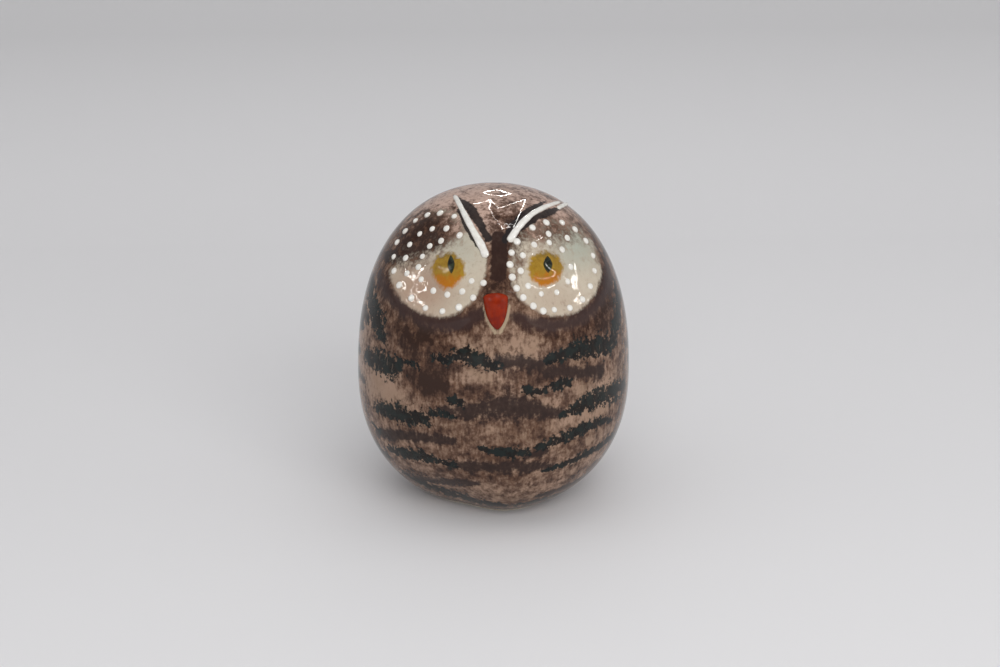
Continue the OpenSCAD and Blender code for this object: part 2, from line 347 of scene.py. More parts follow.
def azimuths(n):
    """Azimuth steps from the front round to the front, closer together over the face."""
    s = 2 * np.pi * np.arange(n) / n
    return np.degrees(s) - 20 * np.sin(s)


def latitudes(n, lowest_z):
    """Even steps from the latitude of the lowest ring to just under the top."""
    lowest = -math.asin(((WIDEST_Z - lowest_z) / LOW_REACH) ** (LOW_FULL / 2))
    return lowest + (np.pi / 2 - lowest) * np.arange(n) / n


def back_point(x, z, grow):
    """The point of the back skin at a place x, z, by correcting a first guess."""
    ask_x, ask_z = x.copy(), z.copy()
    for _ in range(8):
        y = BODY_D / 2 * np.sqrt(np.maximum(egg_width(ask_z) ** 2 - (ask_x / (BODY_W / 2)) ** 2, 0))
        found = skin(np.stack([ask_x, y, ask_z], -1), grow)
        ask_x += x - found[:, 0]
        ask_z += z - found[:, 2]
    return found


def stadium(x, z, grow):
    """The nearest place to x, z on the slot's outline, grown by that much."""
    middle = np.clip(x, -(SLOT_L - SLOT_H) / 2, (SLOT_L - SLOT_H) / 2)
    away = unit(np.stack([x - middle, z - SLOT_Z], -1)) * (SLOT_H / 2 + grow)
    return middle + away[:, 0], SLOT_Z + away[:, 1]


def skin_grid(shell, columns, rows, grow, lowest_z, window):
    """Rings of an outer or inner skin, with a window left open in the back. Returns the lowest ring and the
    window's edge."""
    az = azimuths(columns)
    z = height_at(latitudes(rows, lowest_z))
    points = skin(egg_at(*np.meshgrid(az, z)), grow)
    points[..., 2] = np.maximum(points[..., 2], lowest_z)
    rings = [shell.add(ring) for ring in points]
    k0, k1, i0, i1 = window
    for k in range(rows - 1):
        for i in range(columns):
            if not (k0 <= k < k1 and i0 <= i < i1):
                j = (i + 1) % columns
                shell.faces.append((rings[k][i], rings[k][j], rings[k + 1][j], rings[k + 1][i]))
    tip = shell.add(skin(egg_at(np.array([0.0]), np.array([float(BODY_H)])), grow))[0]
    shell.faces += fan(rings[-1], tip)
    edge = [rings[k0][i] for i in range(i0, i1)] + [rings[k][i1] for k in range(k0, k1)]
    edge += [rings[k1][i] for i in range(i1, i0, -1)] + [rings[k][i0] for k in range(k1, k0, -1)]
    return rings[0], edge


def slot_loops(shell, edge, grow, roll, steps):
    """Loops from a window's edge to the slot, over its rolled lip. Returns the last one."""
    start = shell.all()[edge]
    shell.last = edge
    lip_x, lip_z = stadium(start[:, 0], start[:, 2], roll)
    for t in np.linspace(0, 1, steps + 1)[1:]:
        t = 1 - (1 - t) ** 1.3
        shell.loop(back_point(start[:, 0] + (lip_x - start[:, 0]) * t,
                              start[:, 2] + (lip_z - start[:, 2]) * t, grow))
    depth_sign = 1 if grow < 0 else -1
    for angle in np.radians([18, 36, 54, 72, 90]):
        x, z = stadium(start[:, 0], start[:, 2], roll * (1 - math.sin(angle)))
        points = back_point(x, z, grow)
        points[:, 1] += depth_sign * roll * (1 - math.cos(angle))
        shell.loop(points)
    return shell.last


def circle_ring(az, r, z):
    turn = np.radians(az)
    return np.stack([r * np.sin(turn), -r * np.cos(turn), np.full(len(az), float(z))], -1)


def nearest_even(value, steps):
    """The even number of the step that lies nearest to a value."""
    return 2 * round(np.interp(value, steps, np.arange(len(steps))) / 2)


def slot_window():
    """The rows and columns of the outer grid that are left out round the slot. They are even, so that
    half of each fits the inner grid, which is half as fine."""
    heights = height_at(latitudes(GRID_ROWS, FOOT_FILLET))
    first_column = nearest_even(180 - WINDOW_AZ, azimuths(GRID_COLUMNS))
    return (nearest_even(SLOT_Z - WINDOW_BELOW, heights), nearest_even(SLOT_Z + WINDOW_ABOVE, heights),
            first_column, GRID_COLUMNS - first_column)


def build_shell():
    """The hollow shell: an outer and an inner skin, joined through the slot and round the base."""
    shell = Build()
    window = slot_window()
    foot, outer_edge = skin_grid(shell, GRID_COLUMNS, GRID_ROWS, 0.0, FOOT_FILLET, window)
    outer_lip = slot_loops(shell, outer_edge, 0.0, SLOT_ROLL, 7)
    glazed = shell.count
    floor, inner_edge = skin_grid(shell, GRID_COLUMNS // 2, GRID_ROWS // 2, -WALL, FLOOR_Z,
                                  [v // 2 for v in window])
    inner_lip = slot_loops(shell, inner_edge, -WALL, SLOT_INNER_ROLL, 4)
    shell.faces += halving_strip(outer_lip, inner_lip)
    inside = shell.count

    # The flank turns under to the flat foot, then up the recess, in to the hole and up to the floor.
    low = shell.all()[foot]
    inward = -unit(low * [1, 1, 0])
    shell.last = foot
    for angle in np.radians([22, 45, 68, 90]):
        drop = np.array([0, 0, FOOT_FILLET * (1 - math.cos(angle))])
        shell.loop(low + inward * FOOT_TUCK * math.sin(angle) - drop)
    hole_r = HOLE_R + HOLE_EASE
    profile = [(RECESS_R + EDGE_SOFT, 0), (RECESS_R + EDGE_SOFT * 0.3, EDGE_SOFT * 0.3),
               (RECESS_R, EDGE_SOFT), (RECESS_R, RECESS_DEEP - EDGE_SOFT),
               (RECESS_R - EDGE_SOFT, RECESS_DEEP), (HOLE_R + EDGE_SOFT, RECESS_DEEP),
               (hole_r, RECESS_DEEP + EDGE_SOFT), (hole_r, FLOOR_Z - EDGE_SOFT),
               (hole_r + EDGE_SOFT, FLOOR_Z)]
    for r, z in profile:
        shell.loop(circle_ring(azimuths(GRID_COLUMNS), r, z))
    shell.faces += halving_strip(shell.last, floor)

    fields = paint(shell.all())
    number = np.arange(shell.count)
    turned_under = 2 * GRID_COLUMNS  # the first loops under the flank are still glazed
    unglazed = (number >= glazed) & (number < inside) | (number >= inside + turned_under)
    fields["bare"] = np.where(unglazed, 1.0, 0.0)
    return make_mesh("owl_shell", shell.all(), shell.faces, fields, sharp=50)


# ------------------------ the painting

# Brush strokes are rows of (azimuth, height, half width), on the belly and wings.
BLACK_STROKES = [
    [(-80, 85, 4.5), (-72, 80.5, 6), (-63, 77, 5), (-56, 72, 2.6)],
    [(-71, 61.5, 3), (-64, 62, 4.6), (-55, 63, 5.6), (-47, 63, 4.6)],
    [(-45, 65.5, 2), (-40, 66.5, 1.4), (-35, 66, 1.8)],
    [(-27, 70.5, 1.8), (-23, 70, 2.4), (-20, 71, 1.8)],
    [(-18, 72, 2.4), (-13, 72.5, 4), (-7, 70.5, 3.8), (-2, 69, 3)],
    [(20, 69.5, 1.8), (26, 70.5, 2.4), (34, 71, 4.2), (46, 70, 5), (56, 68.5, 4.4), (62, 69.5, 2.6)],
    [(60, 72, 2.4), (66, 75, 4.4), (71, 79, 5), (76, 86, 3.4)],
    [(10, 59.6, 1.6), (14, 58, 2), (19, 58.4, 1.8)],
    [(23, 59.6, 2.2), (28, 60, 2.8), (30, 59.5, 2)],
    [(-60, 43.5, 2.4), (-52, 44.5, 4.2), (-42, 45.2, 4.6), (-31, 46, 3.4)],
    [(-28, 49, 1.8), (-24, 49.4, 1.8), (-19, 48.5, 1.6)],
    [(-68, 35, 1.2), (-60, 33.5, 1.6)],
    [(-20, 55, 2.2), (-15, 54.6, 2.4)],
    [(27, 47.6, 1.6), (34, 49, 3), (44, 50, 4.6), (56, 49.6, 4.6), (67, 48.5, 4)],
    [(17, 36.6, 2), (26, 38, 2.6), (36, 39.6, 3), (46, 40, 2.6), (56, 38.5, 1.8)],
    [(-7, 36.6, 1.6), (0, 35, 1.8), (6, 34.8, 2.6), (12, 35, 2)],
    [(20, 25.4, 1.2), (30, 26.6, 1.8), (42, 28, 2.4), (58, 29, 2.4), (74, 28.6, 1.8)],
    [(-55, 27.4, 2.4), (-46, 28, 3.6), (-36, 29, 3.6), (-30, 29.4, 2.6)],
    [(-27, 28.4, 2.2), (-20, 28, 2)],
    [(-56, 16, 2.2), (-44, 12.4, 4), (-32, 10, 4.6), (-20, 8.6, 4.6), (-8, 7.6, 3.6), (4, 8, 2)],
    [(12, 7.6, 1.6), (24, 8.4, 2.2), (36, 8.4, 2), (48, 9, 1.4)],
]
BROWN_STROKES = [
    [(-1, 71, 2.8), (9, 70, 3.2), (20, 68.6, 2.8)],
    [(-24, 50.5, 2.4), (-12, 51.5, 4.2), (0, 53.4, 5.4), (10, 52.6, 5), (18, 50.6, 3.6), (26, 48.6, 2.2)],
    [(-22, 27.6, 2.2), (-8, 28.6, 3.4), (6, 29, 3.6), (16, 28, 2.8), (24, 26.6, 1.8)],
    [(20, 65.6, 2.6), (34, 62.8, 3.4), (48, 60, 2.6)],
    [(-64, 32, 2.4), (-46, 36, 2.8), (-31, 38, 2.8), (-19, 39, 2)],
    [(-52, 16, 3), (-38, 16.4, 3.6), (-22, 18.6, 3), (-10, 20, 1.8)],
    [(22, 12, 2.2), (40, 13, 2.6), (58, 14, 2.2)],
    [(12, 32.6, 1.8), (20, 34.4, 2)],
]
# Patches of the body are (azimuth, height, half width, half height, amount). The azimuth is in degrees, and
# an amount over 0 makes the sponged brown denser.
BODY_PATCHES = [
    (-44, 80, 10, 7, 0.45), (-32, 69, 11, 9, 0.55), (-25, 59, 9, 6, 0.5), (-39, 58, 7, 5, 0.4),
    (55, 82, 12, 9, 0.4), (36, 77, 12, 5, 0.35), (20, 64, 9, 7, 0.35), (-20, 81, 9, 4, 0.3),
    (66, 92, 10, 10, 0.3), (-8, 58, 9, 4, 0.15), (0, 33, 16, 3, 0.2), (-5, 24, 14, 4, 0.2),
    (-58, 53, 14, 6.5, -0.8), (9, 75.5, 10, 4.5, -0.55), (-14, 76, 7, 4.5, -0.35), (-11, 65, 9, 3.5, -0.4),
    (1, 43, 9, 4, 0.05), (4, 17, 14, 6, -0.3), (50, 54.5, 17, 3.2, -0.5), (42, 44.5, 15, 3, -0.5),
    (50, 24, 14, 3, -0.25), (46, 33.6, 13, 2.6, -0.35), (-84, 60, 10, 24, -0.6), (86, 56, 10, 24, -0.5),
    (-86, 30, 8, 12, -0.5),
]

# Face strokes are rows of (across, up, half width).
# Contours are dark paint round the discs. Under the discs they are also painted shade, where the discs meet
# the body below them.
CONTOURS_AND_SHADE = [
    [(-44, 4, 1.6), (-43, -3, 2.4), (-39, -9, 2.8), (-33, -14.5, 3), (-26, -18, 3), (-18, -19.5, 3.2),
     (-11, -18.5, 2.8), (-6, -15.5, 2)],
    [(5.5, -17, 2), (12, -20, 2.8), (20, -21, 3), (28, -19.5, 3), (35, -15.5, 3), (40, -9.5, 3),
     (43, -2, 2.8), (43, 6, 2.8), (40, 14, 2.6), (34, 20, 2.2), (27, 23.5, 1.6)],
]
BROW_DARKS = [
    [(-15.6, 28.6, 1), (-12.4, 26, 1.5), (-9.4, 23, 2.5), (-6.8, 18.5, 2.5), (-4.6, 14, 1.7), (-3, 11, 2)],
    [(-13.4, 22.4, 0.9), (-11.4, 17.8, 1.4), (-9.3, 13.2, 1.6), (-7.2, 9.6, 1.3), (-5.4, 6.6, 0.9)],
    [(3, 10.6, 2), (7, 16.6, 1.9), (12, 21.6, 1.7), (19.5, 25.2, 1.2)],
    [(9, 14.6, 1.2), (15, 18.9, 2.1), (21, 21.4, 2.3), (25.6, 22.8, 1.2)],
]
BRIDGE = [[(0.9, 11.5, 3.8), (0.9, 5, 3.9), (0.2, -2.2, 3.7)]]
BEAK_RIMS = [
    [(-5.4, -13, 0.5), (-4.2, -18, 0.9), (-1.2, -23, 1.1)],
    [(4.2, -13, 0.7), (3.1, -18, 1.1), (0.6, -23, 1.1)],
]
# Patches of the face are (across, up, half width, half height, amount).
FACE_PATCHES = [
    (-32, 13, 15, 14, 0.7), (-20, 18, 14, 7, 0.4), (-43, -4, 8, 12, 0.3), (8, 9, 5, 10, 0.5),
    (18, 16, 14, 7, 0.3), (44, -2, 9, 16, 0.45), (43, 14, 9, 10, 0.35), (0, -6, 6, 5, 0.4),
    (-6, 29, 7, 4, -0.1), (3, 18, 6, 9, 0.7), (12, 29, 12, 6, 0.35), (-41, 12, 8, 9, 0.75),
    (-24, 27.5, 9, 5, -0.6),
]


def stroke_points(path, locate):
    """A stroke's middle line, closely spaced, as points and half widths. locate turns the two numbers that
    a place is given by into a point."""
    path = np.array(path, float)
    s = np.linspace(0, len(path) - 1, 14 * (len(path) - 1) + 1)
    a, b, w = [np.interp(s, np.arange(len(path)), path[:, column]) for column in range(3)]
    return locate(a, b), w


def stroke_field(points, paths, locate):
    """1 on a stroke's middle line, 0 on its edge and below 0 outside it."""
    best = np.full(len(points), -1.0)
    for path in paths:
        middles, widths = stroke_points(path, locate)
        reach = 2.2 * widths.max()
        near = np.all((points > middles.min(0) - reach) & (points < middles.max(0) + reach), 1)
        where = np.nonzero(near)[0]
        if len(where):
            away = np.linalg.norm(points[where][:, None] - middles[None], axis=2)
            best[where] = np.maximum(best[where], (1 - away / widths).max(1))
    return best


def body_patch_field(points):
    """The sum of the soft patches around the body."""
    az = np.degrees(np.arctan2(points[:, 0], -points[:, 1]))
    total = np.zeros(len(points))
    for middle, z, half_w, half_h, amount in BODY_PATCHES:
        across = np.radians(turned(az, middle)) * np.hypot(points[:, 0], points[:, 1])
        total += amount * bump(np.hypot(across / half_w, (points[:, 2] - z) / half_h) / 1.6)
    return total


def face_patch_field(x, up):
    """The sum of the soft patches of the face."""
    return sum(amount * bump(oval(x, up, (mid_x, mid_up), (half_w, half_h)) / 1.4)
               for mid_x, mid_up, half_w, half_h, amount in FACE_PATCHES)


def back_strokes(seed, heights, half_width):
    """Loose rows of strokes round the sides and back, where no strokes are listed."""
    rng = np.random.default_rng(seed)
    rows = []
    for height in heights:
        az = rng.uniform(72, 84)
        while az < 284:
            length = rng.uniform(14, 34)
            z = height + rng.uniform(-2, 2)
            rise = rng.uniform(-2.5, 2.5)
            width = half_width * rng.uniform(0.7, 1.2)
            rows.append([(az, z, width * 0.6), (az + length / 2, z + rise / 2, width),
                         (az + length, z + rise, width * 0.7)])
            az += length + rng.uniform(6, 26)
    return rows


def paint(points):
    """Every field of the painting, at any points on the owl."""
    x = points[:, 0]
    up = face_up(points)
    front = np.clip(face_out(points) / 10 - 1, 0, 1)
    black = BLACK_STROKES + back_strokes(7, (20, 33, 46, 58, 70, 81), 3.2)
    brown = BROWN_STROKES + back_strokes(11, (14, 27, 40, 52, 64, 76, 87, 97), 3.6)
    white = 1 - smooth(disc_share(x, up), 0.9, 1.05)
    thin = (1.2 * bump(oval(x, up, (-34, 12), (20, 18))) + 1.15 * bump(oval(x, up, (-21, 16), (18, 12)))
            + 0.9 * bump(oval(x, up, (20, 15), (26, 12))) + 0.6 * bump(oval(x, up, (7, 3), (6, 16))))
    rosy = bump(oval(x, up, (-28, -7), (20, 16))) + 0.35 * bump(oval(x, up, (20, -12), (17, 10)))
    green = bump(oval(x, up, (30, 8), (14, 14))) + 0.5 * bump(oval(x, up, (-12, 8), (12, 14)))
    fields = {
        "black": stroke_field(points, black, egg_at),
        "brown": stroke_field(points, brown, egg_at),
        "contour_and_shade": np.where(front > 0, stroke_field(points, CONTOURS_AND_SHADE, face_skin), -1),
        "white": front * white * (1 - 0.92 * np.clip(thin, 0, 1)),
        "rosy": front * rosy,
        "green": front * green,
        "mottled": 0.64 + body_patch_field(points) + front * face_patch_field(x, up),
        "crown": smooth(points[:, 2], 106, 117),
    }
    for key, strokes in (("brow", BROW_DARKS), ("bridge", BRIDGE), ("rim", BEAK_RIMS)):
        fields[key] = front * np.maximum(stroke_field(points, strokes, face_skin), 0)
    return fields


# ------------------------ the face pieces

def build_disc(side):
    """The white slip brushed into a socket: a thin skin that fades into the shell."""
    around, out = 120, 30
    reach = 0.92
    sunk = 0.5
    rim_sunk = 0.12
    turn = 2 * np.pi * np.arange(around) / around
    centre = disc_middle(side)
    radii = disc_radii(side)
    middle_x, middle_up = np.array([centre[0]]), np.array([centre[1]])

    def ring(share, lift):
        return face_skin(centre[0] + radii[0] * share * np.cos(turn),
                         centre[1] + radii[1] * share * np.sin(turn), lift)

    slip = Build()
    slip.last = slip.add(face_skin(middle_x, middle_up, DISC_LIFT))
    for k in range(1, out + 1):
        fade = (k / out) ** 6
        slip.loop(ring(reach * k / out, DISC_LIFT * (1 - fade) - rim_sunk * fade))
    for share in (0.9, 0.6, 0.3):
        slip.loop(ring(share, -sunk))
    slip.faces += fan(slip.last, slip.add(face_skin(middle_x, middle_up, -sunk))[0])
    return make_mesh(f"facial_disc_{WORD[side]}_slip", slip.all(), slip.faces, paint(slip.all()))


def iris_height(share, *_):
    """Height of an iris over the skin: its rim just sinks into the slip of the disc."""
    return DISC_LIFT - IRIS_SUNK + IRIS_RISE * np.sqrt(np.maximum(0, 1 - share ** 3))


def lens(name, centre, outline, height, skirt=-0.8):
    """A low dome of enamel. outline gives offsets by angle, and height takes the share of the way to the
    outline and the place on the face. The field edge is 1 at the rim, and up is counted from the centre."""
    around, out = 64, 14
    dx, dup = outline(2 * np.pi * np.arange(around) / around)

    def ring(share, extra=0.0):
        x = centre[0] + dx * share
        up = centre[1] + dup * share
        return face_skin(x, up, height(share, x, up) + extra)

    dome = Build()
    dome.last = dome.add(ring(0.0)[:1])
    edge = [0.0]
    for k in range(1, out + 1):
        dome.loop(ring(k / out))
        edge += [k / out] * around
    dome.loop(ring(0.9, skirt))
    dome.faces += fan(dome.last, dome.add(ring(0.0, skirt)[:1])[0])
    edge += [1.0] * (around + 1)
    fields = paint(dome.all())
    fields.update(edge=edge, up=face_up(dome.all()) - centre[1])
    return make_mesh(name, dome.all(), dome.faces, fields)


def iris_outline(rx, ry, drip, drip_at):
    """A round iris, a little uneven, with the colour run down at one place."""
    def outline(turn):
        run = 1 + drip * bump((np.degrees(turn) - drip_at) / 34)
        return (rx * np.cos(turn) * (1 + 0.03 * np.sin(3 * turn + 1)),
                ry * np.sin(turn) * run * (1 + 0.03 * np.sin(2 * turn)))
    return outline


def slit_outline(half_w, half_h):
    """Two arcs that meet at the top and bottom."""
    def outline(turn):
        return (half_w * np.sign(np.cos(turn)) * (1 - np.abs(np.sin(turn)) ** 1.6) ** 0.8,
                half_h * np.sin(turn))
    return outline


def build_iris(side, rx, drip, drip_at):
    """A low amber dome. drip is how far the colour has run, and drip_at is where, in degrees."""
    return lens(f"iris_{WORD[side]}_amber", (side * EYE_X, EYE_UP), iris_outline(rx, IRIS_R, drip, drip_at),
                iris_height)


def build_pupil(side, centre, half_w, half_h):
    """A black slit that lies on the dome of its iris."""
    def height(share, x, up):
        under = oval(x, up, (side * EYE_X, EYE_UP), (IRIS_R, IRIS_R))
        return iris_height(np.minimum(under, 1)) + PUPIL_LIFT + PUPIL_RISE * math.sqrt(1 - share ** 3)

    return lens(f"pupil_{WORD[side]}_slit", centre, slit_outline(half_w, half_h), height, skirt=-0.5)


DOT_R = 1.3
DOT_RISE = 0.75
DOT_WANDER = 0.25                # how far a dot may sit from its place in the row
DOT_RINGS = [(0.3, 0.96), (0.55, 0.84), (0.76, 0.62), (0.9, 0.36), (1.0, 0.1), (1.04, -0.5)]
# Rows of dots are (centre, radii, first angle, last angle, count), on ellipses on the face.
OUTER_LEFT = [((-21, 3), (16.5, 18), 69, 207, 9), ((-20.2, 3), (16.6, 18), 227, 334, 6)]
OUTER_RIGHT = [((21, 1), (15.7, 16.3), -92, 119, 11), ((21, 1), (16.2, 16.8), 148, 254, 8)]
INNER_LEFT = [((-21, 3), (12.2, 12.6), 50, 198, 7), ((-EYE_X, EYE_UP), (10.5, 10.5), 102, 200, 5),
              ((-EYE_X, EYE_UP), (9.6, 9.4), 236, 332, 4)]
INNER_RIGHT = [((EYE_X, EYE_UP), (9.4, 9.6), 45, 363, 10), ((21, 1), (11, 12), 60, 100, 2)]

# Brow lines are rows of (across, up).
BROW_W = 2.4
BROW_RISE = 0.8
BROW_LEFT = [(-14.6, 28), (-12.7, 23.6), (-10.6, 18.8), (-8, 13.4), (-5.4, 8.4), (-3.9, 4.2)]
BROW_RIGHT = [(4.4, 9.8), (7.2, 14), (10.1, 17.3), (13.7, 20.4), (19, 23.1), (25.2, 25.2)]
BROW_DASH = [(23.7, 22.4), (25.9, 23.6), (28.1, 24.6)]


def build_dots(name, rows, seed):
    """Domes of trailed slip. Each one differs a little in size."""
    rng = np.random.default_rng(seed)
    dots = Build()
    edge = []
    around = 20
    turn = 2 * np.pi * np.arange(around) / around
    for centre, radii, first, last, count in rows:
        for angle in np.radians(np.linspace(first, last, count)):
            x = centre[0] + radii[0] * math.cos(angle) + rng.uniform(-DOT_WANDER, DOT_WANDER)
            up = centre[1] + radii[1] * math.sin(angle) + rng.uniform(-DOT_WANDER, DOT_WANDER)
            r = DOT_R * rng.uniform(0.88, 1.1)
            here = face_skin(np.array(x), np.array(up))
            n = face_normal(np.array(x), np.array(up))
            side = unit(np.cross(n, [0.0, 0.3, 1.0]))
            top = np.cross(side, n)
            dots.last = dots.add(here + n * DOT_RISE)
            edge += [0.0]
            for share, height in DOT_RINGS:
                ring = here + r * share * (side * np.cos(turn)[:, None] + top * np.sin(turn)[:, None])
                dots.loop(ring + n * DOT_RISE * height)
                edge += [share] * around
            dots.cap()
    return make_mesh(name, dots.all(), dots.faces, {"edge": edge})


def build_line(name, path, width, ends):
    """A trailed line of slip, rounded at the ends, with a slightly uneven width."""
    path = np.array(path, float)
    steps = 12 * (len(path) - 1)
    s = np.linspace(0, len(path) - 1, steps + 1)
    x, up = [np.interp(s, np.arange(len(path)), path[:, column]) for column in range(2)]
    soft = np.array([0.25, 0.5, 0.25])
    for _ in range(10):
        x[1:-1] = np.convolve(x, soft, "valid")
        up[1:-1] = np.convolve(up, soft, "valid")
    here = face_skin(x, up)
    normal = face_normal(x, up)
    along = unit(np.gradient(here, axis=0))
    side = unit(np.cross(normal, along))
    share = np.linspace(0, 1, steps + 1)
    swell = np.interp(share, [0, 0.5, 1], [ends[0], 1, ends[1]])
    round_end = np.sqrt(np.clip(1 - (np.abs(share - 0.5) * 2) ** 24, 0, 1))
    swell = swell * round_end * (1 + 0.05 * np.sin(share * 19) + 0.03 * np.sin(share * 43)) + 0.02
    sides = 16
    turn = 2 * np.pi * np.arange(sides) / sides
    line = Build()
    for k in range(steps + 1):
        line.loop(here[k] + swell[k] * (side[k] * width / 2 * np.cos(turn)[:, None]
                                        + normal[k] * BROW_RISE * np.sin(turn)[:, None]))
        if k in (0, steps):
            line.cap()
    edge = list(np.abs(np.cos(turn))) * (steps + 1)
    return make_mesh(name, line.all(), line.faces, {"edge": edge})


BEAK_TOP, BEAK_TIP = -8.7, -22.0
BEAK_HALF_W = 4.5
BEAK_OUT = 3.2
BEAK_SHIFT = -1.0                # the root of the beak sits a little to the left


def build_beak():
    """A shield of enamelled clay: a flat top with round corners, swelling out and closing to a point."""
    rows, sides = 28, 28
    turn = 2 * np.pi * np.arange(sides) / sides
    bulge = np.sin(turn)
    beak = Build()
    share_down = []
    for k in range(rows + 1):
        t = k / rows
        up = BEAK_TOP + (BEAK_TIP - BEAK_TOP) * t
        half = BEAK_HALF_W * min(1, (t / 0.1 + 0.05) ** 0.35) * (1 - t ** 2.5) ** 0.66
        half = max(half, 0.05)
        out = BEAK_OUT * min(1, (t / 0.22 + 0.04) ** 0.5) * (1 - t ** 3.2) ** 0.6
        x = BEAK_SHIFT * (1 - 0.5 * t) + half * np.cos(turn)
        lift = np.where(bulge > 0, out * np.abs(bulge) ** 0.9, -0.7 * np.abs(bulge)) - 0.05
        beak.loop(face_skin(x, np.full(sides, up), lift))
        share_down += [t] * sides
        if k in (0, rows):
            beak.cap()
    return make_mesh("beak_enamel", beak.all(), beak.faces, {"down": share_down}, sharp=80)


# ------------------------ materials

class Shader:
    """A node material built a call at a time. A value is a number, a colour or another node's output."""

    def __init__(self, name):
        self.material = bpy.data.materials.new(name)
        self.material.use_nodes = True
        self.tree = self.material.node_tree
        self.surface = self.tree.nodes["Principled BSDF"]
        self.place = self.node("ShaderNodeTexCoord").outputs["Object"]

    def node(self, kind, **settings):
        node = self.tree.nodes.new(kind)
        for key, value in settings.items():
            setattr(node, key, value)
        return node

    def feed(self, socket, value):
        if isinstance(value, bpy.types.NodeSocket):
            self.tree.links.new(value, socket)
        elif socket.type == "RGBA":
            socket.default_value = (*value, 1)
        else:
            socket.default_value = value

    def set(self, **values):
        """Sets the surface's own sockets, named with _ for a space."""
        for key, value in values.items():
            self.feed(self.surface.inputs[key.replace("_", " ")], value)

    def math(self, operation, a, b):
        node = self.node("ShaderNodeMath", operation=operation)
        self.feed(node.inputs[0], a)
        self.feed(node.inputs[1], b)
        return node.outputs[0]

    def field(self, name):
        """A number that the mesh keeps for each of its vertices."""
        return self.node("ShaderNodeAttribute", attribute_name=name).outputs["Fac"]

    def noise(self, size, detail=3.0, stretch=(1, 1, 1), rough=0.55):
        """Noise from 0 to 1 with features of that many millimetres, longer along a stretched axis."""
        mapping = self.node("ShaderNodeMapping")
        self.feed(mapping.inputs["Vector"], self.place)
        mapping.inputs["Scale"].default_value = [1 / (MM * size * s) for s in stretch]
        node = self.node("ShaderNodeTexNoise")
        self.feed(node.inputs["Vector"], mapping.outputs[0])
        node.inputs["Scale"].default_value = 1
        node.inputs["Detail"].default_value = detail
        node.inputs["Roughness"].default_value = rough
        return self.step(node.outputs["Fac"], 0.3, 0.7, linear=True)

    def step(self, value, low, high, to_low=0.0, to_high=1.0, linear=False):
        """Goes from to_low to to_high while the value goes from low to high, and stays there beyond."""
        node = self.node("ShaderNodeMapRange", interpolation_type="LINEAR" if linear else "SMOOTHSTEP")
        for socket, given in zip(("Value", "From Min", "From Max", "To Min", "To Max"),
                                 (value, low, high, to_low, to_high)):
            self.feed(node.inputs[socket], given)
        return node.outputs["Result"]

    def plus(self, value, noise, amount):
        """value with noise, centred on nothing, added to it."""
        return self.math("ADD", value, self.math("MULTIPLY", self.math("SUBTRACT", noise, 0.5), amount))

    def mix(self, amount, a, b):
        """The colour a, turning into b as the amount goes from 0 to 1."""
        node = self.node("ShaderNodeMix", data_type="RGBA")
        self.feed(node.inputs[0], amount)
        self.feed(node.inputs[6], a)
        self.feed(node.inputs[7], b)
        return node.outputs[2]

    def bump(self, height, distance):
        """Roughens the surface by a height from 0 to 1, which stands for that many millimetres."""
        node = self.node("ShaderNodeBump")
        self.feed(node.inputs["Height"], height)
        node.inputs["Distance"].default_value = distance * MM
        node.inputs["Strength"].default_value = 1.0
        self.feed(self.surface.inputs["Normal"], node.outputs[0])
        return node.outputs[0]


def srgb(r, g, b):
    """A colour by its screen values, 0 to 255."""
    return tuple(((v / 255 + 0.055) / 1.055) ** 2.4 if v > 10 else v / 255 / 12.92 for v in (r, g, b))


def clear_glaze(shader, pull=1.0):
    """The clear gloss over everything, made very slightly uneven by pull. Returns the material."""
    shader.set(Roughness=0.6, Specular_IOR_Level=0.0, Coat_Weight=0.9, Coat_Roughness=0.03, Coat_IOR=1.32)
    wave = shader.noise(9, 1.5)
    ripple = shader.noise(2.6, 2)
    height = shader.math("ADD", wave, shader.math("MULTIPLY", ripple, 0.05))
    normal = shader.bump(height, 0.055 * pull)
    shader.feed(shader.surface.inputs["Coat Normal"], normal)
    return shader.material


